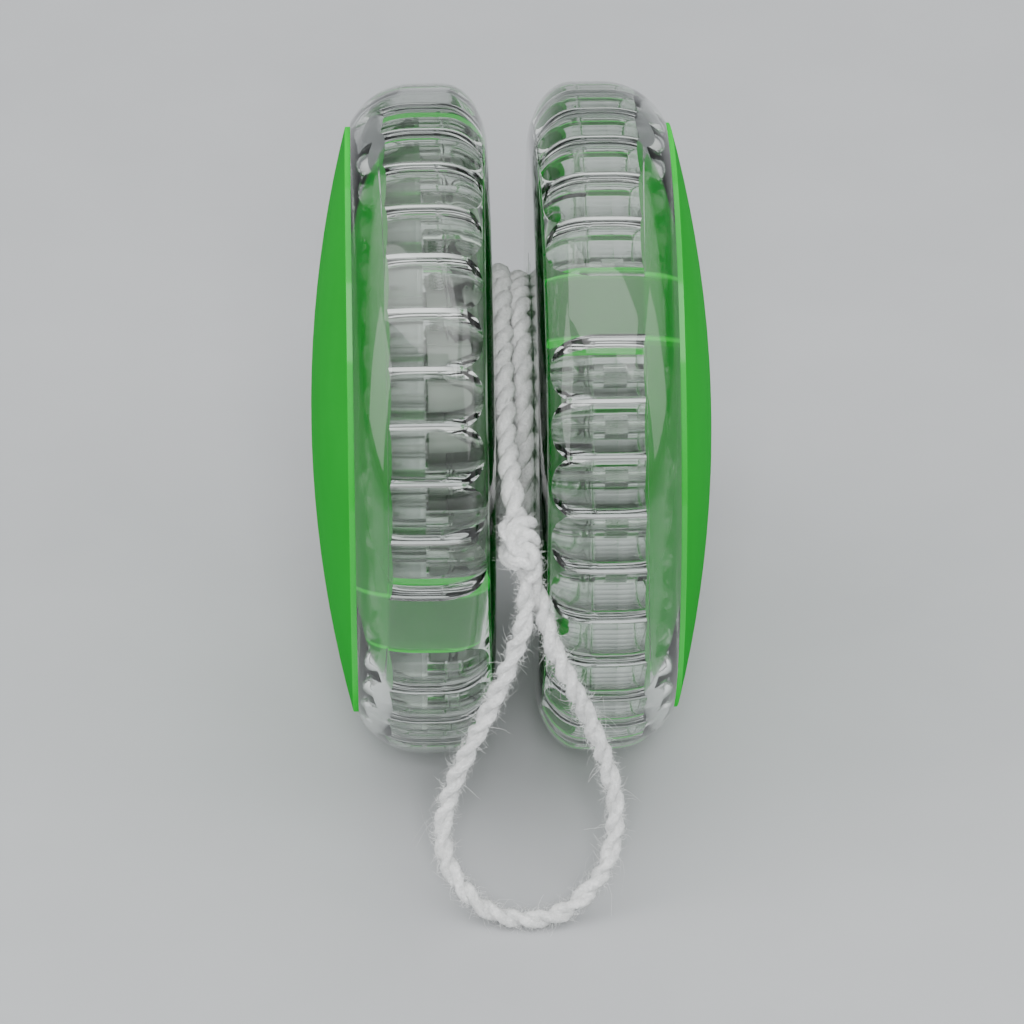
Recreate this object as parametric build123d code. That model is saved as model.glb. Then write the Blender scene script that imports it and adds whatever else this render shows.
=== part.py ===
from build123d import *
import math
import os

# A yo-yo with a centrifugal clutch, standing on its two rims. Lengths are in mm.
# X runs along the axle, Y runs from front to back and Z is up; the origin is the middle of the axle.
# One half is described with X as the distance from the middle of the string gap, and is then
# mirrored for the left side. Angles about the axle start at the front (-Y) and turn towards +Z.

# Rim shells
RIM_RADIUS = 28.5
GAP_AT_STRING = 1.7      # gap face, from the middle plane, where the string lies
GAP_AT_MOUTH = 1.75      # gap face where the mouth starts to open
STRING_BAND_RADIUS = 13.0
MOUTH_RADIUS = 23.0
MOUTH_DEPTH = 3.8        # axial size of the rounded mouth
SHOULDER_START = 8.0     # the rim's crest ends here and the round shoulder starts
SHOULDER_ROUND = 6.0
SHELL_END = 13.3
WALL_INSIDE = 3.3        # inner face of the gap wall
BORE_RADIUS = 24.7
BORE_FILLET = 0.3

# Flutes inside each rim, in three groups with a smooth window between them
WINDOWS = 3
WINDOW_DEG = 13.5
FLUTES_PER_GROUP = 10
FLUTE_RADIUS = 3.06
FLUTE_CENTRE = 23.34
FLUTE_ROUND_END = 6.4
FLUTE_STEP = 10.0
LEFT_WINDOW_DEG = -7.3
RIGHT_WINDOW_DEG = 53.3

# Response grooves in each gap face
GROOVES = 16
GROOVE_SIZE = (0.3, 6.0, 1.2)
GROOVE_MIDDLE = 11.0

# Side caps
CAP_APEX = 17.0
CAP_EDGE = 13.75
CAP_RADIUS = 24.9
CAP_THICKNESS = 1.4
CAP_CORNER = 0.25        # how much thicker the cap is where the dome meets the skirt
SKIRT_OUTER = 24.6
SKIRT_INNER = 23.4
TAB_WIDTH = 5.4
TAB_END = 3.65
TAB_CUTTER_DEPTH = 4.0   # more than the skirt's thickness

# Axle, nuts and spool
AXLE_RADIUS = 2.0
AXLE_HALF_LENGTH = 12.9
THREAD_CHAMFER = 0.4
RUNNING_RADIUS = 2.05    # every bore that turns or slides on the axle
NUT_FLATS = 7.0
NUT_POCKET_FLATS = 7.1
NUT_THICKNESS = 3.1
NUT_POCKET_SLACK = 0.05  # axial room behind a nut
RIGHT_BOSS_RADIUS = 6.0
RIGHT_BOSS_END = 11.0
RIB_COUNT = 6
RIB_SIZE = (2.4, 16.5, 1.2)
RIB_OVERLAP = 0.5        # how far a rib runs into the boss
SPOOL_RADIUS = 3.0
SPOOL_RIGHT_END = 2.1
SPOOL_RECESS = (3.3, 2.6)    # radius and floor of the recess for the spool's right end
LEFT_HOLE_RADIUS = 3.2
DRUM_RADIUS = 6.5
DRUM_FACES = (3.5, 7.1)
WASHER_INNER = 2.1
RIGHT_WASHER = (3.15, 2.15, 2.55)    # outer radius and the two faces
LEFT_WASHER = (5.0, 7.15, 7.45)

# Clutch
COVER_RADIUS = 20.6
COVER_FACES = (7.5, 9.1)
COVER_BOSS_RADIUS = 5.8
COVER_BOSS_END = 12.15
LEFT_NUT_FACE = 9.05
SCREW_SPOTS = ((8.0, 16.5), (-18.0, 1.5), (-8.0, -16.5), (18.0, -1.5))
SCREW_POST_RADIUS = 2.2
SCREW_RADIUS = 1.0
SCREW_HOLE_RADIUS = 1.05
SCREW_TIP = 4.6
SCREW_TIP_SLACK = 0.4    # hole left below a screw's tip
SCREW_HEAD = (1.9, 1.1)
SCREW_SLOT = (0.5, 2.8)
PIVOT = (12.0, 2.0)
PIVOT_RADIUS = 1.5
PIVOT_BORE = 1.55
PIVOT_EYE = 2.7
PIVOT_END = 7.45
ARM_FACES = (3.65, 7.15)
JAW_RADIUS = 6.55
BALL_SPOT = (-12.5, 9.6)
BALL_RADIUS = 1.98
BALL_POCKET = 2.04
BALL_EYE = 3.3
ARM_OUTLINE = (
    (13.6, 4.2), (8.5, 9.6), (0.0, 11.2), (-11.0, 12.9), (-13.5, 6.4),
    (-8.5, 6.0), (-5.9, 3.2), (5.9, 3.2), (10.2, 0.2),
)
SPRING_Y = -4.0
SPRING_FOOT = 12.1
SPRING_SEAT = 18.6
SEAT_SIZE = (4.4, 1.6)
SEAT_SLACK = 0.1         # room between a seat's end and the cover
PAD_DEPTH = 3.0          # the pad under a spring, part of the arm
SPRING_RADIUS = 1.35
SPRING_WIRE = 0.22
SPRING_TURNS = 6
SPRING_SLACK = 0.05      # room at each end of a spring

# String
STRING_DIAMETER = 1.6
ARC_SHARE = 0.45         # share of the shorter run that a bend of the string takes
WINDING_HALF_WIDTH = 1.6
KNOT_SIZE = (3.0, 3.6, 4.9)
KNOT_CENTRE = (0.05, -25.6, 3.75)
KNOT_FILLET = 1.2
LEAD_ROUTE = (
    (-0.8, -4.5, 13.15), (-0.8, -12.0, 10.9), (-0.65, -19.5, 8.8), (-0.1, -24.7, 5.6),
)
LOOP_ROUTE = (
    (0.3, -27.1, 1.9), (0.2, -27.8, -2.2), (-0.9, -28.2, -6.6), (-3.0, -28.5, -11.6),
    (-5.3, -28.8, -16.5), (-6.4, -29.6, -20.1), (-6.5, -30.7, -23.0), (-5.1, -32.4, -25.7),
    (-2.2, -33.9, -27.5), (1.5, -34.3, -27.7), (4.0, -33.7, -27.1), (6.7, -32.0, -25.0),
    (7.8, -30.6, -22.5), (8.0, -29.3, -18.9), (6.8, -28.7, -14.2), (5.1, -28.6, -9.6),
    (3.2, -28.5, -5.4), (1.95, -27.6, -1.6), (1.1, -25.3, 1.9),
)


def disc(radius, low, high, at=(0, 0)):
    """A disc across X between two planes."""
    return extrude(Plane.YZ.offset(low) * Pos(*at) * Circle(radius), high - low)


def ring(inner, outer, low, high):
    return disc(outer, low, high) - disc(inner, low, high)


def hexagon(flats, low, high):
    """A hexagonal block across X, by its width over flats."""
    outline = RegularPolygon(flats / 2, 6, major_radius=False)
    return extrude(Plane.YZ.offset(low) * outline, high - low)


def spoke(solid, degrees, radius):
    """Moves a solid out to a radius at an angle about the axle, from the front towards +Z."""
    return Rot(X=-degrees) * Pos(0, -radius, 0) * solid


def half_turn(solid):
    """The same solid, turned half way round the axle."""
    return Rot(X=180) * solid


def mirrored(solid):
    """The left half's piece, from the same piece described on the right."""
    return mirror(solid, about=Plane.YZ)


def window_angles(first):
    return [first + turn * 360 / WINDOWS for turn in range(WINDOWS)]


def flute_angles(first):
    """The middle of each flute: equal steps over each group, between one window and the next."""
    pitch = (360 / WINDOWS - WINDOW_DEG) / FLUTES_PER_GROUP
    starts = [window + WINDOW_DEG / 2 for window in window_angles(first)]
    return [start + pitch * (k + 0.5) for start in starts for k in range(FLUTES_PER_GROUP)]


def cup():
    """The revolved wall of a rim: gap face, open mouth, crest, round shoulder and inner bore."""
    crest = MOUTH_DEPTH + GAP_AT_MOUTH
    shoulder_angle = math.asin((SHELL_END - SHOULDER_START) / SHOULDER_ROUND)
    shoulder_middle = RIM_RADIUS - SHOULDER_ROUND

    def on_shoulder(angle):
        return (
            SHOULDER_START + SHOULDER_ROUND * math.sin(angle),
            shoulder_middle + SHOULDER_ROUND * math.cos(angle),
        )

    end_edge = on_shoulder(shoulder_angle)
    sides = [
        Polyline((GAP_AT_STRING, 0), (GAP_AT_STRING, STRING_BAND_RADIUS), (GAP_AT_MOUTH, MOUTH_RADIUS)),
        EllipticalCenterArc(
            (crest, MOUTH_RADIUS), MOUTH_DEPTH, RIM_RADIUS - MOUTH_RADIUS, start_angle=90, arc_size=90
        ),
        Line((crest, RIM_RADIUS), (SHOULDER_START, RIM_RADIUS)),
        ThreePointArc((SHOULDER_START, RIM_RADIUS), on_shoulder(shoulder_angle / 2), end_edge),
        Polyline(end_edge, (SHELL_END, BORE_RADIUS), (WALL_INSIDE + BORE_FILLET, BORE_RADIUS)),
        RadiusArc(
            (WALL_INSIDE + BORE_FILLET, BORE_RADIUS), (WALL_INSIDE, BORE_RADIUS - BORE_FILLET), -BORE_FILLET
        ),
        Polyline((WALL_INSIDE, BORE_RADIUS - BORE_FILLET), (WALL_INSIDE, 0), (GAP_AT_STRING, 0)),
    ]
    return revolve(make_face(Curve() + sides), Axis.X)


def flute():
    """One flute's cutter: a round-ended channel along the axle."""
    channel = disc(FLUTE_RADIUS, FLUTE_ROUND_END, FLUTE_STEP)
    return channel + Pos(FLUTE_ROUND_END, 0, 0) * Sphere(FLUTE_RADIUS)


def rim(first_window):
    """A fluted rim cup with response grooves and no hub."""
    body = cup() - [spoke(flute(), angle, FLUTE_CENTRE) for angle in flute_angles(first_window)]
    groove = Box(2 * GROOVE_SIZE[0], *GROOVE_SIZE[1:])
    grooves = [
        spoke(Pos(GAP_AT_STRING, 0, 0) * groove, (k + 0.5) * 360 / GROOVES, GROOVE_MIDDLE)
        for k in range(GROOVES)
    ]
    return body - grooves


def right_rim_shell():
    body = rim(RIGHT_WINDOW_DEG) + disc(RIGHT_BOSS_RADIUS, WALL_INSIDE, RIGHT_BOSS_END)
    rib = Pos(WALL_INSIDE + RIB_SIZE[0] / 2, 0, 0) * Box(*RIB_SIZE)
    rib_middle = RIGHT_BOSS_RADIUS + RIB_SIZE[1] / 2 - RIB_OVERLAP
    first_rib = RIGHT_WINDOW_DEG + 180 / RIB_COUNT
    body += [spoke(rib, first_rib + k * 360 / RIB_COUNT, rib_middle) for k in range(RIB_COUNT)]
    body -= disc(RUNNING_RADIUS, 0, RIGHT_BOSS_END)
    body -= disc(SPOOL_RECESS[0], 0, SPOOL_RECESS[1])
    pocket_floor = RIGHT_BOSS_END - NUT_THICKNESS - NUT_POCKET_SLACK
    return body - hexagon(NUT_POCKET_FLATS, pocket_floor, RIGHT_BOSS_END)


def left_rim_shell():
    """The clutch side: posts for the cover screws, pivot posts for the arms and seats for the springs."""
    body = rim(LEFT_WINDOW_DEG) - disc(LEFT_HOLE_RADIUS, 0, WALL_INSIDE)
    for spot in SCREW_SPOTS:
        body += disc(SCREW_POST_RADIUS, WALL_INSIDE, COVER_FACES[0], spot)
        body -= disc(SCREW_HOLE_RADIUS, SCREW_TIP - SCREW_TIP_SLACK, COVER_FACES[0], spot)
    pivot_post = disc(PIVOT_RADIUS, WALL_INSIDE, PIVOT_END, PIVOT)
    depth = COVER_FACES[0] - SEAT_SLACK - WALL_INSIDE
    seat = Pos(WALL_INSIDE + depth / 2, SPRING_Y, SPRING_SEAT + SEAT_SIZE[1] / 2) * Box(depth, *SEAT_SIZE)
    return body + pivot_post + half_turn(pivot_post) + seat + half_turn(seat)


def cap(first_window):
    """A domed side cap with its skirt and the three tabs that reach to the gap wall."""

    def dome(apex, edge, radius):
        sphere = (radius**2 + (apex - edge) ** 2) / (2 * (apex - edge))
        middle = (apex - sphere + math.sqrt(sphere**2 - radius**2 / 4), radius / 2)
        return ThreePointArc((apex, 0), middle, (edge, radius))

    inner_edge = CAP_EDGE - CAP_THICKNESS + CAP_CORNER
    sides = [
        dome(CAP_APEX, CAP_EDGE, CAP_RADIUS),
        Polyline(
            (CAP_EDGE, CAP_RADIUS), (SHELL_END, CAP_RADIUS), (SHELL_END, SKIRT_OUTER),
            (FLUTE_STEP, SKIRT_OUTER), (FLUTE_STEP, SKIRT_INNER), (inner_edge, SKIRT_INNER),
        ),
        dome(CAP_APEX - CAP_THICKNESS, inner_edge, SKIRT_INNER),
        Line((CAP_APEX - CAP_THICKNESS, 0), (CAP_APEX, 0)),
    ]
    body = revolve(make_face(Curve() + sides), Axis.X)
    length = FLUTE_STEP - TAB_END
    block = Pos(TAB_END + length / 2, 0, 0) * Box(length, TAB_CUTTER_DEPTH, TAB_WIDTH)
    tabs = ring(SKIRT_INNER, SKIRT_OUTER, TAB_END, FLUTE_STEP)
    middle = (SKIRT_INNER + SKIRT_OUTER) / 2
    return body + [tabs & spoke(block, angle, middle) for angle in window_angles(first_window)]


def axle():
    rod = disc(AXLE_RADIUS, -AXLE_HALF_LENGTH, AXLE_HALF_LENGTH)
    return chamfer(rod.edges().filter_by(GeomType.CIRCLE), THREAD_CHAMFER)


def nut(face):
    return hexagon(NUT_FLATS, face, face + NUT_THICKNESS) - disc(RUNNING_RADIUS, face, face + NUT_THICKNESS)


def spool():
    """The plastic sleeve that the string is tied round, with the clutch drum at its left end."""
    sleeve = disc(SPOOL_RADIUS, -DRUM_FACES[1], SPOOL_RIGHT_END)
    drum = disc(DRUM_RADIUS, -DRUM_FACES[1], -DRUM_FACES[0])
    return sleeve + drum - disc(RUNNING_RADIUS, -DRUM_FACES[1], SPOOL_RIGHT_END)


def washer(outer, low, high):
    return ring(WASHER_INNER, outer, low, high)


def clutch_cover():
    """The plate over the clutch, with the boss that holds the left nut."""
    plate = disc(COVER_RADIUS, *COVER_FACES) + disc(COVER_BOSS_RADIUS, COVER_FACES[0], COVER_BOSS_END)
    plate -= disc(RUNNING_RADIUS, COVER_FACES[0], COVER_BOSS_END)
    plate -= hexagon(NUT_POCKET_FLATS, LEFT_NUT_FACE - NUT_POCKET_SLACK, COVER_BOSS_END)
    for spot in SCREW_SPOTS:
        plate -= disc(SCREW_HOLE_RADIUS, *COVER_FACES, spot)
    return plate


def cover_screw(spot):
    """A cross-slotted screw through the cover into its post."""
    face = COVER_FACES[1]
    head_end = face + SCREW_HEAD[1]
    screw = disc(SCREW_RADIUS, SCREW_TIP, face, spot) + disc(SCREW_HEAD[0], face, head_end, spot)
    width, length = SCREW_SLOT
    for size in ((width, length), (length, width)):
        screw -= Pos(head_end, *spot) * Box(2 * width, *size)
    return screw


def clutch_arm():
    """The upper clutch lever: pivot eye, jaw that grips the drum, spring pad and ball pocket."""
    low, high = ARM_FACES
    outline = make_face(Polyline(*ARM_OUTLINE, close=True))
    body = extrude(Plane.YZ.offset(low) * outline, high - low)
    body += disc(PIVOT_EYE, low, high, PIVOT)
    body += disc(BALL_EYE, low, high, BALL_SPOT)
    pad = Box(high - low, SEAT_SIZE[0], PAD_DEPTH)
    body += Pos((low + high) / 2, SPRING_Y, SPRING_FOOT - PAD_DEPTH / 2) * pad
    body -= disc(JAW_RADIUS, low, high)
    body -= disc(PIVOT_BORE, low, high, PIVOT)
    return body - disc(BALL_POCKET, low, high, BALL_SPOT)


def clutch_ball():
    return Pos(sum(ARM_FACES) / 2, *BALL_SPOT) * Sphere(BALL_RADIUS)


def clutch_spring():
    """A wire spring along Z between the arm's pad and the seat on the shell."""
    height = SPRING_SEAT - SPRING_FOOT - 2 * (SPRING_WIRE + SPRING_SLACK)
    line = Helix(height / SPRING_TURNS, height, SPRING_RADIUS)
    section = Plane(origin=line @ 0, z_dir=line % 0) * Circle(SPRING_WIRE)
    wire = sweep(section, line, is_frenet=True)
    return Pos(sum(ARM_FACES) / 2, SPRING_Y, SPRING_FOOT + SPRING_WIRE + SPRING_SLACK) * wire


def string_tube(name, route):
    """A tube along a route of straight runs joined by tangent arcs as large as the runs allow."""
    points = [Vector(*point) for point in route]
    radii = []
    for before, here, after in zip(points, points[1:], points[2:]):
        turn = math.radians((here - before).get_angle(after - here))
        shorter = min((here - before).length, (after - here).length)
        radii.append(ARC_SHARE * shorter / math.tan(turn / 2))
    line = FilletPolyline(*points, radius=radii)
    section = Plane(origin=line @ 0, z_dir=line % 0) * Circle(STRING_DIAMETER / 2)
    tube = sweep(section, line)
    whole = math.pi * STRING_DIAMETER**2 / 4 * line.length
    print(name, "length", round(line.length, 1), "volume share", round(tube.volume / whole, 4))
    print(name, "radii", [round(r, 1) for r in radii])
    return tube


def string_winding():
    """The ring that the wound string fills between the two gap faces."""
    return ring(SPOOL_RADIUS, STRING_BAND_RADIUS, -WINDING_HALF_WIDTH, WINDING_HALF_WIDTH)


def string_knot():
    """The slip knot that closes the finger loop, as a rounded block of its size."""
    block = Box(*KNOT_SIZE)
    return Pos(*KNOT_CENTRE) * fillet(block.edges(), KNOT_FILLET)


def main():
    """Makes every piece in its place and writes one file for each."""
    knot = string_knot()
    winding = string_winding()
    arm = clutch_arm()
    spring = clutch_spring()
    ball = clutch_ball()
    pieces = {
        "left_rim_shell": mirrored(left_rim_shell()),
        "right_rim_shell": right_rim_shell(),
        "left_cap": mirrored(cap(LEFT_WINDOW_DEG)),
        "right_cap": cap(RIGHT_WINDOW_DEG),
        "axle": axle(),
        "left_nut": mirrored(nut(LEFT_NUT_FACE)),
        "right_nut": nut(RIGHT_BOSS_END - NUT_THICKNESS),
        "spool": spool(),
        "left_thrust_washer": mirrored(washer(*LEFT_WASHER)),
        "right_thrust_washer": washer(*RIGHT_WASHER),
        "clutch_cover": mirrored(clutch_cover()),
        "cover_screws": Compound([mirrored(cover_screw(spot)) for spot in SCREW_SPOTS]),
        "upper_clutch_arm": mirrored(arm),
        "lower_clutch_arm": half_turn(mirrored(arm)),
        "upper_clutch_ball": mirrored(ball),
        "lower_clutch_ball": half_turn(mirrored(ball)),
        "upper_clutch_spring": mirrored(spring),
        "lower_clutch_spring": half_turn(mirrored(spring)),
        "string_winding": winding,
        "string_lead": string_tube("string_lead", LEAD_ROUTE) - knot - winding,
        "string_knot": knot,
        "finger_loop": string_tube("finger_loop", LOOP_ROUTE) - knot,
    }
    os.makedirs("parts", exist_ok=True)
    for name, piece in pieces.items():
        export_step(piece, f"parts/{name}.step")


main()
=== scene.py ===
import math
import random

import bpy
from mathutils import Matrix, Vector


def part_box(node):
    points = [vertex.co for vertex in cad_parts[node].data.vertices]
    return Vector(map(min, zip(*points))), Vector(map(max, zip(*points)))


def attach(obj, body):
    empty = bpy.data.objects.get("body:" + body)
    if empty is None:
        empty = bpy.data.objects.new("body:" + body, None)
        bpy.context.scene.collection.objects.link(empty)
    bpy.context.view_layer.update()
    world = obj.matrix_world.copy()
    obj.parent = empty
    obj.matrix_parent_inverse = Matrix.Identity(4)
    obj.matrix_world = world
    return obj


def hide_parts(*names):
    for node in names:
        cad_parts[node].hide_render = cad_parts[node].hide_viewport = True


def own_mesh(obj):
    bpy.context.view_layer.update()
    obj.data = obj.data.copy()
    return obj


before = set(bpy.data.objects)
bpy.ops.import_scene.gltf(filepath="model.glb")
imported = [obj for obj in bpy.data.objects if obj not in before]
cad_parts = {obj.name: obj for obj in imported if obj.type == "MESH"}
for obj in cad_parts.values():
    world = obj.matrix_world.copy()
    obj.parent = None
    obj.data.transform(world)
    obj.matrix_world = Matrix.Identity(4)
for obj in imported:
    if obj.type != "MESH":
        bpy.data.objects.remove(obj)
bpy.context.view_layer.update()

# A yo-yo: two clear rims with green caps on a steel axle, and a cotton string with its finger loop.
# X is along the axle, Y from front to back and Z up. Lengths are in metres, or in millimetres times MM.

MM = 0.001
RIM_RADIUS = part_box("left_rim_shell")[1][2]
FLOOR = -RIM_RADIUS
STRING_BODY = "string"


def mm(*values):
    """A point given in millimetres, in metres."""
    return Vector([v * MM for v in values])


def add(name, data):
    """A new object in the scene."""
    obj = bpy.data.objects.new(name, data)
    bpy.context.collection.objects.link(obj)
    return obj


def add_mesh(name, verts, faces, material, smooth=True):
    """A new mesh object of one material."""
    mesh = bpy.data.meshes.new(name)
    mesh.from_pydata([tuple(v) for v in verts], [], faces)
    for face in mesh.polygons:
        face.use_smooth = smooth
    mesh.materials.append(material)
    return add(name, mesh)


def look_at(obj, target):
    """Turns a lamp or camera to face a point."""
    obj.rotation_mode = "QUATERNION"
    obj.rotation_quaternion = (Vector(target) - obj.location).to_track_quat("-Z", "Y")


# ---------------------------------------------------------------- camera, floor and light

CAMERA_LENS = 211.4             # mm
CAMERA_SENSOR = 36              # mm
CAMERA_DISTANCE = 0.513
CAMERA_ELEVATION = math.radians(33)
CAMERA_LEFT = math.radians(1.5)
CAMERA_DROP = 0.0081            # how far below the axle's middle it looks
CAMERA_CLIP = (0.01, 20)

FLOOR_REACH = 12.0              # to both sides, and to the front
WALL_AT = 1.6                   # where the floor starts to curve up
WALL_CURVE = 0.6
WALL_CURVE_STEPS = 12
WALL_TOP = 2.2

LAMPS = (                       # name, place, size, power, seen in glossy surfaces
    ("key", (-0.1, -0.25, 0.8), (1.5, 0.45), 5.5, True),
    ("back", (0.15, 0.55, 0.5), (0.7, 0.25), 1.5, False),
    ("front", (0.0, -0.75, 0.5), (0.25, 0.3), 8, False),
    ("right", (0.7, -0.2, 0.3), (0.4, 0.5), 1.2, True),
    ("left", (-0.7, -0.25, 0.3), (0.4, 0.5), 1.6, True),
)
ROOM_COLOUR = (0.98, 0.99, 1.0, 1)
ROOM_AT_HORIZON = 0.3
ROOM_OVERHEAD = 1.35


def make_camera():
    """The view from the front: a little left, 33 degrees up, with a long lens."""
    camera = add("camera", bpy.data.cameras.new("camera"))
    camera.data.sensor_width = CAMERA_SENSOR
    camera.data.lens = CAMERA_LENS
    camera.data.clip_start, camera.data.clip_end = CAMERA_CLIP
    away = Vector((
        -math.sin(CAMERA_LEFT) * math.cos(CAMERA_ELEVATION),
        -math.cos(CAMERA_LEFT) * math.cos(CAMERA_ELEVATION),
        math.sin(CAMERA_ELEVATION),
    ))
    up = Vector((0, math.sin(CAMERA_ELEVATION), math.cos(CAMERA_ELEVATION)))
    camera.location = away * CAMERA_DISTANCE
    look_at(camera, -up * CAMERA_DROP)
    bpy.context.scene.camera = camera


def make_floor():
    """A pale floor that curves up into a pale wall behind."""
    profile = [(-FLOOR_REACH, FLOOR), (WALL_AT, FLOOR)]
    for i in range(1, WALL_CURVE_STEPS + 1):
        a = math.pi / 2 * i / WALL_CURVE_STEPS
        profile.append((WALL_AT + WALL_CURVE * math.sin(a), FLOOR + WALL_CURVE * (1 - math.cos(a))))
    profile.append((WALL_AT + WALL_CURVE, WALL_TOP))
    verts = [(x, y, z) for x in (-FLOOR_REACH, FLOOR_REACH) for y, z in profile]
    n = len(profile)
    faces = [(i, i + 1, n + i + 1, n + i) for i in range(n - 1)]
    add_mesh("floor", verts, faces, floor_material())


def make_lamps():
    """Soft rectangular lamps overhead, in front, behind and at the sides, all facing the object."""
    for name, place, size, power, glossy in LAMPS:
        data = bpy.data.lights.new(name, "AREA")
        data.shape = "RECTANGLE"
        data.size, data.size_y = size
        data.energy = power
        obj = add(name, data)
        obj.location = place
        look_at(obj, (0, 0, 0))
        obj.visible_glossy = glossy
        obj.visible_transmission = False


def make_room():
    """Plain surroundings that are brighter overhead."""
    world = bpy.data.worlds.new("room")
    world.use_nodes = True
    tree = world.node_tree
    place = tree.nodes.new("ShaderNodeTexCoord")
    parts = tree.nodes.new("ShaderNodeSeparateXYZ")
    rise = tree.nodes.new("ShaderNodeMapRange")
    rise.inputs["To Min"].default_value = ROOM_AT_HORIZON
    rise.inputs["To Max"].default_value = ROOM_OVERHEAD
    background = tree.nodes["Background"]
    background.inputs["Color"].default_value = ROOM_COLOUR
    tree.links.new(place.outputs["Generated"], parts.inputs["Vector"])
    tree.links.new(parts.outputs["Z"], rise.inputs["Value"])
    tree.links.new(rise.outputs["Result"], background.inputs["Strength"])
    bpy.context.scene.world = world


# ---------------------------------------------------------------- materials

MIX_FACTOR, MIX_A, MIX_B, MIX_RESULT = 0, 6, 7, 2      # the colour sockets of a Mix node

CAP_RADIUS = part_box("left_cap")[1][1]
SKIRT_TOP = 13.0 * MM           # along the axle, where the dome's edge ends and the skirt starts
SKIRT_END = 9.8 * MM
SKIRT_INSIDE = 23.2 * MM
TABS = 3
TAB_INSIDE = 21.0 * MM
TAB_HALF_WIDTH = 2.7 * MM
LEFT_TABS_AT = -7.3             # degrees up from the front
RIGHT_TABS_AT = 53.3
# The cap's painted glow: emission, and a lighter green at its rim, its skirt and its tabs' edges, that
# no lamp gives.
RIM_PAINTED_GLOW_SHARE = 0.45                # how much of the tab edges' painted glow the cap's rim gets
PAINTED_GLOW = 0.045                    # painted glow: emission of the whole cap, and what skirt and edges add to it
SKIRT_PAINTED_GLOW = 0.10
EDGE_PAINTED_GLOW = 0.3


class Nodes:
    """Short calls for building a material's nodes."""

    def __init__(self, name):
        self.material = bpy.data.materials.new(name)
        self.material.use_nodes = True
        self.tree = self.material.node_tree
        self.shader = self.tree.nodes["Principled BSDF"]

    def feed(self, socket, value):
        """Links another node's output to the socket, or sets a plain value on it."""
        if hasattr(value, "is_output"):
            self.tree.links.new(value, socket)
        else:
            socket.default_value = value

    def node(self, kind, **inputs):
        n = self.tree.nodes.new(kind)
        for key, value in inputs.items():
            self.feed(n.inputs[key.replace("_", " ")], value)
        return n

    def place(self):
        return self.node("ShaderNodeTexCoord").outputs["Object"]

    def scaled(self, x, y, z):
        return self.node("ShaderNodeMapping", Vector=self.place(), Scale=(x, y, z)).outputs["Vector"]

    def noise(self, vector, scale, detail=4.0, roughness=0.6, distortion=0.0):
        n = self.node(
            "ShaderNodeTexNoise", Vector=vector, Scale=scale, Detail=detail,
            Roughness=roughness, Distortion=distortion,
        )
        return n.outputs["Fac"]

    def span(self, value, low, high, out_low, out_high):
        n = self.node(
            "ShaderNodeMapRange", Value=value, From_Min=low, From_Max=high,
            To_Min=out_low, To_Max=out_high,
        )
        return n.outputs["Result"]

    def rise(self, value, start, length):
        """0 up to start, then up to 1 over this length."""
        return self.span(value, start, start + length, 0.0, 1.0)

    def fall(self, value, start, length):
        """1 up to start, then down to 0 over this length."""
        return self.span(value, start, start + length, 1.0, 0.0)

    def math(self, operation, a, b=0.0, c=0.0):
        n = self.tree.nodes.new("ShaderNodeMath")
        n.operation = operation
        for socket, value in zip(n.inputs, (a, b, c)):
            self.feed(socket, value)
        return n.outputs[0]

    def mix(self, factor, a, b):
        n = self.tree.nodes.new("ShaderNodeMix")
        n.data_type = "RGBA"
        for socket, value in ((MIX_FACTOR, factor), (MIX_A, a), (MIX_B, b)):
            self.feed(n.inputs[socket], value)
        return n.outputs[MIX_RESULT]

    def bump(self, height, distance, strength):
        n = self.node("ShaderNodeBump", Height=height, Distance=distance, Strength=strength)
        self.feed(self.shader.inputs["Normal"], n.outputs["Normal"])

    def set(self, **values):
        for key, value in values.items():
            self.feed(self.shader.inputs[key.replace("_", " ")], value)


def floor_material():
    """A pale grey satin board."""
    m = Nodes("pale_floor")
    fine = m.noise(m.place(), 60.0)
    m.set(
        Base_Color=m.mix(fine, (0.35, 0.36, 0.37, 1), (0.39, 0.40, 0.41, 1)),
        Roughness=m.span(fine, 0.3, 0.7, 0.28, 0.4),
    )
    return m.material


def scuffs(m, scale):
    """Fine scuffs in two directions, as 0 to 1: the peaks of two stretched noises."""
    first = m.noise(m.scaled(3, 8, 0.7), scale, 2.0, 0.5, 0.8)
    second = m.noise(m.scaled(1, 0.8, 9), scale * 1.2, 2.0, 0.5, 0.8)
    return m.math("MAXIMUM", m.rise(first, 0.64, 0.06), m.rise(second, 0.66, 0.06))


def clear_material():
    """Clear polycarbonate with faint swirls and light scuffs."""
    m = Nodes("clear_polycarbonate")
    haze = m.noise(m.place(), 140.0)
    m.set(
        Base_Color=m.mix(haze, (0.90, 0.96, 0.91, 1), (0.96, 0.99, 0.96, 1)),
        Transmission_Weight=1.0,
        IOR=1.585,
        Roughness=m.math("MULTIPLY_ADD", scuffs(m, 900.0), 0.08, m.span(haze, 0.3, 0.7, 0.03, 0.055)),
    )
    m.bump(m.noise(m.place(), 180.0, 2.0), 0.03 * MM, 0.35)
    return m.material


def plate_material():
    """The clutch cover's clear plastic, a little milkier than the rims."""
    m = Nodes("clear_plate")
    haze = m.noise(m.place(), 240.0)
    m.set(
        Base_Color=m.mix(haze, (0.86, 0.93, 0.88, 1), (0.93, 0.97, 0.94, 1)),
        Transmission_Weight=0.9,
        IOR=1.585,
        Roughness=m.span(haze, 0.3, 0.7, 0.08, 0.2),
    )
    m.bump(m.noise(m.place(), 400.0, 2.0), 0.03 * MM, 0.4)
    return m.material


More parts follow.
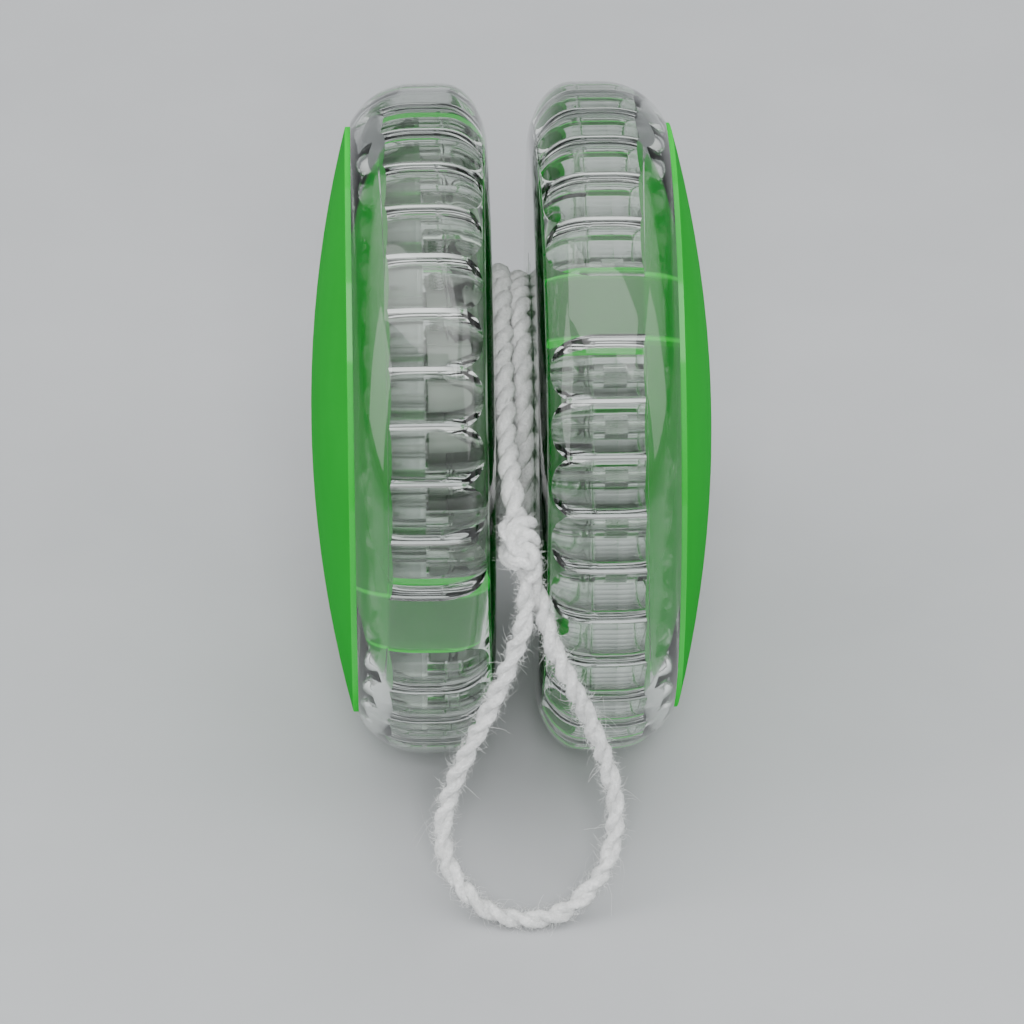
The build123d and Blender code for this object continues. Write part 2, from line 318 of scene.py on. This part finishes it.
def painted_tab_edge_glow(m, y, z, first_tab):
    """Where the cap gets its painted glow: 1 along the two long edges of each of the cap's tabs, and 0
    elsewhere.
    """
    painted_glow_edges = 0.0
    for k in range(TABS):
        angle = math.radians(first_tab + 360 / TABS * k)
        outward = m.math("MULTIPLY_ADD", z, math.sin(angle), m.math("MULTIPLY", y, -math.cos(angle)))
        sideways = m.math("MULTIPLY_ADD", z, math.cos(angle), m.math("MULTIPLY", y, math.sin(angle)))
        aside = m.math("ABSOLUTE", sideways)
        painted_edge_glow = m.math(
            "MULTIPLY",
            m.rise(aside, TAB_HALF_WIDTH - 0.3 * MM, 0.2 * MM),
            m.fall(aside, TAB_HALF_WIDTH + 0.1 * MM, 0.1 * MM),
        )
        painted_edge_glow = m.math("MULTIPLY", m.rise(outward, TAB_INSIDE, 2.0 * MM), painted_edge_glow)
        painted_glow_edges = m.math("MAXIMUM", painted_edge_glow, painted_glow_edges)
    return painted_glow_edges


def green_material(first_tab):
    """Fluorescent translucent plastic, with a painted glow over the whole cap, and painted light that
    makes it brighter along the edges of the cap and of its three tabs and on its skirt.
    """
    m = Nodes("green_plastic")
    cloud = m.noise(m.place(), 60.0, 3.0)
    parts = m.node("ShaderNodeSeparateXYZ", Vector=m.place())
    y, z = parts.outputs["Y"], parts.outputs["Z"]
    radius = m.math("SQRT", m.math("ADD", m.math("MULTIPLY", y, y), m.math("MULTIPLY", z, z)))
    from_middle = m.math("ABSOLUTE", parts.outputs["X"])
    under = m.fall(from_middle, SKIRT_TOP, 0.4 * MM)
    # Painted glow: masks for the lighter green and the emission at the cap's rim, along its tabs' edges
    # and on its skirt.
    rim_painted_glow = m.math("MULTIPLY", m.rise(radius, CAP_RADIUS - 0.2 * MM, 0.15 * MM), RIM_PAINTED_GLOW_SHARE)
    painted_edge_glow = m.math("MAXIMUM", rim_painted_glow, m.math("MULTIPLY", painted_tab_edge_glow(m, y, z, first_tab), under))
    skirt_painted_glow = m.math("MULTIPLY", m.rise(from_middle, SKIRT_END, 0.2 * MM), under)
    skirt_painted_glow = m.math("MULTIPLY", m.rise(radius, SKIRT_INSIDE, 0.3 * MM), skirt_painted_glow)
    painted_glow = m.math("MULTIPLY_ADD", skirt_painted_glow, SKIRT_PAINTED_GLOW, PAINTED_GLOW)
    base = m.mix(cloud, (0.0, 0.24, 0.012, 1), (0.0, 0.32, 0.022, 1))
    facing = m.node("ShaderNodeLayerWeight", Blend=0.5).outputs["Facing"]
    # Painted glow: the edges get a lighter green, and the emission lights the whole cap, more at its
    # skirt and edges.
    m.set(
        Base_Color=m.mix(painted_edge_glow, base, (0.0, 0.60, 0.04, 1)),
        Transmission_Weight=m.span(facing, 0.2, 0.62, 0.5, 0.0),
        IOR=1.45,
        Specular_IOR_Level=0.0,
        Roughness=m.math("MULTIPLY_ADD", scuffs(m, 700.0), 0.06, m.span(cloud, 0.3, 0.7, 0.12, 0.18)),
        Coat_Weight=m.span(facing, 0.3, 0.7, 0.8, 0.05),
        Coat_Roughness=0.08,
        Emission_Color=(0.005, 0.9, 0.05, 1),
        Emission_Strength=m.math("MULTIPLY_ADD", painted_edge_glow, EDGE_PAINTED_GLOW, painted_glow),
    )
    m.bump(m.noise(m.place(), 220.0, 2.0), 0.02 * MM, 0.3)
    return m.material


def white_plastic():
    """Moulded acetal: slightly uneven, matte and milky."""
    m = Nodes("white_acetal")
    fine = m.noise(m.place(), 900.0)
    m.set(
        Base_Color=m.mix(fine, (0.74, 0.78, 0.74, 1), (0.80, 0.83, 0.79, 1)),
        Roughness=m.span(fine, 0.3, 0.7, 0.32, 0.45),
        Subsurface_Weight=0.15,
        Subsurface_Radius=(2 * MM, 2 * MM, 2 * MM),
    )
    m.bump(m.noise(m.place(), 2500.0, 2.0), 0.01 * MM, 0.5)
    return m.material


def steel():
    """Bright plated steel with a fine grain drawn along the axle."""
    m = Nodes("plated_steel")
    grain = m.noise(m.scaled(0.2, 3, 3), 1500.0, 3.0)
    m.set(
        Base_Color=m.mix(grain, (0.50, 0.50, 0.51, 1), (0.66, 0.66, 0.67, 1)),
        Metallic=1.0,
        Roughness=m.span(grain, 0.3, 0.7, 0.18, 0.32),
    )
    m.bump(grain, 0.01 * MM, 0.4)
    return m.material


def cotton():
    """Bleached cotton: fine fibres, and darker random patches of painted shade for its hollows."""
    m = Nodes("cotton")
    fibre = m.noise(m.place(), 4200.0, 4.0, 0.75, 1.2)
    patch = m.noise(m.place(), 900.0, 2.0)
    shade = m.math("MULTIPLY_ADD", fibre, 0.65, m.math("MULTIPLY", patch, 0.35))
    painted_hollow_shade = m.span(shade, 0.36, 0.62, 0.0, 1.0)
    m.set(
        # Painted shade: the darker colour stands for the shade in the hollows between fibres.
        Base_Color=m.mix(painted_hollow_shade, (0.58, 0.60, 0.59, 1), (0.97, 0.98, 0.97, 1)),
        Roughness=m.span(fibre, 0.3, 0.7, 0.85, 1.0),
        Sheen_Weight=0.3,
        Sheen_Roughness=0.6,
        Subsurface_Weight=0.1,
        Subsurface_Radius=(0.4 * MM, 0.4 * MM, 0.4 * MM),
    )
    m.bump(fibre, 0.25 * MM, 1.0)
    return m.material


# ---------------------------------------------------------------- lines and tubes

def spline(name, points):
    """A smooth open curve with these control points."""
    data = bpy.data.curves.new(name, "CURVE")
    data.dimensions = "3D"
    line = data.splines.new("NURBS")
    line.points.add(len(points) - 1)
    for point, place in zip(line.points, points):
        point.co = (*place, 1)
    line.order_u = 3
    line.use_endpoint_u = True
    line.resolution_u = 8
    return add(name, data)


def followed(curve):
    """The points along a curve; the curve itself is then removed."""
    bpy.context.view_layer.update()
    mesh = bpy.data.meshes.new_from_object(curve)
    points = [v.co.copy() for v in mesh.vertices]
    bpy.data.meshes.remove(mesh)
    bpy.data.objects.remove(curve)
    return points


def evenly(points, step):
    """The same line with its points about a step apart."""
    far = [0.0]
    for a, b in zip(points, points[1:]):
        far.append(far[-1] + (b - a).length)
    count = max(2, round(far[-1] / step))
    out, k = [], 0
    for i in range(count + 1):
        want = far[-1] * i / count
        while k < len(far) - 2 and far[k + 1] < want:
            k += 1
        share = (want - far[k]) / max(1e-9, far[k + 1] - far[k])
        out.append(points[k].lerp(points[k + 1], min(1, share)))
    return out


def frames(points):
    """At each point, the line's direction and two side vectors that don't twist along it."""
    ways = []
    for i in range(len(points)):
        a, b = points[max(0, i - 1)], points[min(len(points) - 1, i + 1)]
        ways.append((b - a).normalized())
    side = ways[0].orthogonal().normalized()
    out = []
    for way in ways:
        side = (side - way * side.dot(way)).normalized()
        out.append((way, side, way.cross(side)))
    return out


def around(side, across, angle):
    """The direction at an angle round a line, from the line's two side vectors."""
    return side * math.cos(angle) + across * math.sin(angle)


def tube_faces(first, rings, sides):
    """The faces of a closed tube whose points start at this number and run ring by ring."""
    faces = []
    for i in range(rings - 1):
        for j in range(sides):
            a, b = first + i * sides + j, first + i * sides + (j + 1) % sides
            faces.append((a, b, b + sides, a + sides))
    start = range(first, first + sides)
    end = range(first + (rings - 1) * sides, first + rings * sides)
    return faces + [tuple(start)[::-1], tuple(end)]


# ---------------------------------------------------------------- string

WOUND_LENGTH = 0.83
OUTER_LENGTH = 0.11             # the end of the wound string, which has loose fibres

# The winding: one wrap on the left, the next on the right. Radii and COLUMN are in mm.
WRAPS = 16
POINTS_A_WRAP = 14
FIRST_WRAP = 3.8
LAST_WRAP = 12.3
COLUMN = 0.8                    # from the middle plane to each column
CROSSES_AT = 0.1                # the part of a wrap by which the crossing is late
CROSSES_FAST = 5
LEAVES_AT = math.radians(73.7)
INSIDE = math.cos(math.pi / POINTS_A_WRAP) ** 0.75     # the smooth line's radius over its points' radius

# Routes, as control points in mm: from the winding to the knot, and round the finger loop.
LEAD = ((-0.8, -9.5, 10.1), (-0.75, -16.5, 8.1), (-0.4, -21.4, 6.7), (-0.1, -24.7, 5.4))
LOOP = (
    (0.55, -26.3, 2.6), (0.65, -27.9, -0.8), (-0.35, -28.3, -4.4), (-2.6, -28.5, -10.4),
    (-5.3, -28.8, -16.5), (-6.4, -29.6, -20.1), (-6.5, -30.7, -23.0), (-5.1, -32.4, -25.7),
    (-2.2, -33.9, -27.5), (1.5, -34.3, -27.7), (4.0, -33.7, -27.1), (6.7, -32.0, -25.0),
    (7.8, -30.6, -22.5), (8.0, -29.3, -18.9), (6.8, -28.7, -14.2), (5.1, -28.6, -9.6),
    (3.1, -28.5, -5.2), (1.85, -27.3, -1.4), (0.9, -25.5, 2.4),
)

# The slip knot's route, in mm from its centre: to the right, up the string, and out to the front.
KNOT_CENTRE = mm(0.05, -25.6, 3.75)
KNOT_UP = Vector((-0.09, 0.54, 0.835)).normalized()
KNOT_OUT = Vector((0, -0.84, 0.54)).normalized()
KNOT_SIDE = KNOT_UP.cross(KNOT_OUT).normalized()
KNOT_WAY = (
    (-0.2, 3.0, -0.2), (0.1, 1.6, -0.3), (0.0, 0.2, -0.3), (0.3, -0.9, -0.5), (1.05, -0.9, 0.2),
    (0.6, -1.1, 1.15), (-0.6, -0.9, 1.15), (-1.1, -0.4, 0.0), (-0.5, 0.1, -1.0), (0.8, 0.3, -0.9),
    (1.05, 0.7, 0.2), (0.4, 0.9, 1.2), (-0.6, 1.2, 1.1), (-1.05, 1.8, -0.1), (-0.2, 2.0, -1.0),
    (0.8, 2.1, -0.4), (0.9, 2.0, 0.8), (-0.1, 1.9, 1.15), (-0.8, 1.0, 1.25), (-0.2, 0.0, 1.45),
    (0.9, -0.2, 1.25), (1.0, -1.1, 0.8), (0.6, -2.4, 0.2),
)

# A rope: plies that twist round its line, each with the ridges of its yarns.
PLIES = 2
PLY_RADIUS = 0.48 * MM
PLY_ORBIT = 0.32 * MM           # from the rope's line to a ply's
PITCH = 4.4 * MM
YARNS = 5
YARN_DEPTH = 0.07
YARN_TWIST = 1.6
SWELL_EVERY = 9                 # rings between the knots of a random swell
THICK_EVERY = 6
TURN_SWELL = 0.5                # radians
ORBIT_SWELL = 0.08
PLY_SWELL = 0.10
ROUGH = 0.09

# Loose fibres.
HAIR_RINGS = 4
HAIR_SIDES = 3
HAIR_THICKNESS = (0.015, 0.026)     # mm
HAIR_TAPER = 0.6
HAIR_DROOP = 0.4
HAIR_ROOT = 0.6                 # mm from the rope's line
HAIR_LOWEST = FLOOR + 0.02 * MM
TOWARDS_FACE = 0.3              # the share of X in a hair's direction that points it at a gap face


def winding_points():
    """The control points of the wound string, from the spool out to the lead."""
    points = []
    for k in range(WRAPS * POINTS_A_WRAP + 1):
        wraps = k / POINTS_A_WRAP
        angle = LEAVES_AT + math.tau * (WRAPS - wraps)
        r = (FIRST_WRAP + (LAST_WRAP - FIRST_WRAP) * wraps / WRAPS) / INSIDE
        x = -COLUMN * math.tanh(CROSSES_FAST * math.cos(math.pi * (wraps - CROSSES_AT)))
        points.append(mm(x, -r * math.cos(angle), r * math.sin(angle)))
    return points


def knot_points():
    """The control points of the slip knot."""
    return [
        KNOT_CENTRE + KNOT_SIDE * u * MM + KNOT_UP * v * MM + KNOT_OUT * w * MM
        for u, v, w in KNOT_WAY
    ]


def wander(rng, count, every):
    """A smooth random line from -1 to 1."""
    knots = [rng.uniform(-1, 1) for _ in range(count // every + 3)]
    out = []
    for i in range(count):
        k, rest = divmod(i, every)
        t = rest / every
        t = t * t * (3 - 2 * t)
        out.append(knots[k] * (1 - t) + knots[k + 1] * t)
    return out


def rope(name, route, material, seed, step, sides, ply=PLY_RADIUS, orbit=PLY_ORBIT):
    """Twisted plies along a route; gives the piece, and its line's points and their frames."""
    rng = random.Random(seed)
    points = evenly(route, step)
    line = frames(points)
    step = sum((b - a).length for a, b in zip(points, points[1:])) / (len(points) - 1)
    swell = wander(rng, len(points), SWELL_EVERY)
    verts, faces = [], []
    for k in range(PLIES):
        thick = wander(rng, len(points), THICK_EVERY)
        faces += tube_faces(len(verts), len(points), sides)
        for i, (place, (_, side, across)) in enumerate(zip(points, line)):
            turn = math.tau * (i * step / PITCH + k / PLIES) + TURN_SWELL * swell[i]
            centre = place + around(side, across, turn) * orbit * (1 + ORBIT_SWELL * swell[i])
            for j in range(sides):
                a = math.tau * j / sides
                yarn = 1 + YARN_DEPTH * math.cos(YARNS * (a - turn * YARN_TWIST))
                r = ply * yarn * (1 + PLY_SWELL * thick[i]) * (1 + ROUGH * rng.uniform(-1, 1))
                point = centre + around(side, across, a) * r
                point.z = max(point.z, FLOOR)
                verts.append(point)
    return add_mesh(name, verts, faces, material), points, line


def hair(rng, points, line, reach, in_gap):
    """The points of one curved tapering hair, or none where it would point at a gap face."""
    i = rng.randrange(len(points))
    way, side, across = line[i]
    out = around(side, across, rng.uniform(0, math.tau))
    sideways = way.cross(out)
    length = reach * MM * rng.uniform(0.25, 1.0) ** 2
    lean = way * rng.choice((-1, 1)) * rng.uniform(0.3, 1.2) + sideways * rng.uniform(-0.8, 0.8)
    curl = sideways * rng.uniform(-0.7, 0.7) + way * rng.uniform(-0.6, 0.6)
    root = points[i] + out * HAIR_ROOT * MM
    if in_gap and out.x * root.x > 0 and abs(out.x) > TOWARDS_FACE:
        return []
    thick = rng.uniform(*HAIR_THICKNESS) * MM
    root.z = max(root.z, HAIR_LOWEST)
    verts = []
    for k in range(HAIR_RINGS):
        t = k / (HAIR_RINGS - 1)
        place = root + (out * (1 - HAIR_DROOP * t) + lean * t + curl * t * t) * length * t
        place.z = max(place.z, HAIR_LOWEST)
        for j in range(HAIR_SIDES):
            across_hair = around(sideways, out.cross(sideways), math.tau * j / HAIR_SIDES)
            verts.append(place + across_hair * (thick * (1 - HAIR_TAPER * t)))
    return verts


def fibres(name, strands, material, seed):
    """Loose cotton fibres that stand off the string."""
    rng = random.Random(seed)
    verts, faces = [], []
    for points, line, count, reach, in_gap in strands:
        for _ in range(count):
            rings = hair(rng, points, line, reach, in_gap)
            if rings:
                faces += tube_faces(len(verts), HAIR_RINGS, HAIR_SIDES)
                verts += rings
    return add_mesh(name, verts, faces, material, smooth=False)


def make_string(material):
    """The wound string with its lead, the slip knot, the finger loop and their loose fibres."""
    line = followed(spline("winding_line", winding_points() + [mm(*p) for p in LEAD]))
    wound, wound_points, wound_frames = rope(
        "wound_string", line, material, seed=3, step=0.26 * MM, sides=14,
        ply=0.66 * MM, orbit=0.27 * MM,
    )
    knot_line = followed(spline("knot_line", knot_points()))
    knot, tied_points, tied_frames = rope(
        "slip_knot", knot_line, material, seed=5, step=0.14 * MM, sides=20, ply=0.52 * MM)
    loop_line = followed(spline("loop_line", [mm(*p) for p in LOOP]))
    loop, loop_points, loop_frames = rope(
        "finger_loop_string", loop_line, material, seed=8, step=0.14 * MM, sides=22)
    last = round(OUTER_LENGTH / WOUND_LENGTH * len(wound_points))
    strands = (                 # line, frames, hairs, their longest reach in mm, in the string gap
        (loop_points, loop_frames, 4600, 1.1, False),
        (loop_points, loop_frames, 260, 2.8, False),
        (tied_points, tied_frames, 1700, 1.0, False),
        (wound_points[-last:], wound_frames[-last:], 3000, 0.9, True),
    )
    fuzz = fibres("string_fibres", strands, material, seed=21)
    for piece in (wound, knot, loop, fuzz):
        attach(piece, STRING_BODY)
    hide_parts("string_winding", "string_lead")
    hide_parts("string_knot")
    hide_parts("finger_loop")


# ---------------------------------------------------------------- clutch springs

SPRING_TURNS = 6
STEPS_A_TURN = 20
WIRE_SIDES = 8
WIRE_RADIUS = 0.22 * MM


def coil_points(middle, radius, height, way):
    """The line of a coil along Z: from the bottom up with way 1, from the top down with way -1."""
    count = SPRING_TURNS * STEPS_A_TURN
    points = []
    for i in range(count + 1):
        a = math.tau * i / STEPS_A_TURN
        rise = height * (i / count - 0.5)
        points.append(middle + Vector((radius * math.cos(a), radius * math.sin(a) * way, rise * way)))
    return points


def make_spring(arm, way, material):
    """One wire coil, in the place of its arm's clutch spring."""
    low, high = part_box(arm + "_clutch_spring")
    middle = (Vector(low) + Vector(high)) / 2
    radius = (high[0] - low[0]) / 2 - WIRE_RADIUS
    height = high[2] - low[2] - 2 * WIRE_RADIUS
    line = coil_points(middle, radius, height, way)
    verts = []
    for place, (_, side, across) in zip(line, frames(line)):
        for j in range(WIRE_SIDES):
            verts.append(place + around(side, across, math.tau * j / WIRE_SIDES) * WIRE_RADIUS)
    faces = tube_faces(0, len(line), WIRE_SIDES)
    piece = add_mesh(arm + "_spring_wire", verts, faces, material)
    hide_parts(arm + "_clutch_spring")
    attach(piece, "left_half")
    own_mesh(piece)


# ---------------------------------------------------------------- build

def dress(metal):
    """Gives each CAD node that shows its material."""
    looks = {
        clear_material(): ("left_rim_shell", "right_rim_shell"),
        plate_material(): ("clutch_cover",),
        green_material(LEFT_TABS_AT): ("left_cap",),
        green_material(RIGHT_TABS_AT): ("right_cap",),
        white_plastic(): ("spool", "upper_clutch_arm", "lower_clutch_arm"),
        metal: (
            "axle", "left_nut", "right_nut", "left_thrust_washer", "right_thrust_washer",
            "cover_screws", "upper_clutch_ball", "lower_clutch_ball",
        ),
    }
    for material, names in looks.items():
        for name in names:
            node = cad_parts[name]
            node.data.materials.clear()
            node.data.materials.append(material)


make_camera()
make_string(cotton())
make_floor()
make_lamps()
make_room()
plated = steel()
make_spring("upper", 1, plated)
make_spring("lower", -1, plated)
dress(plated)
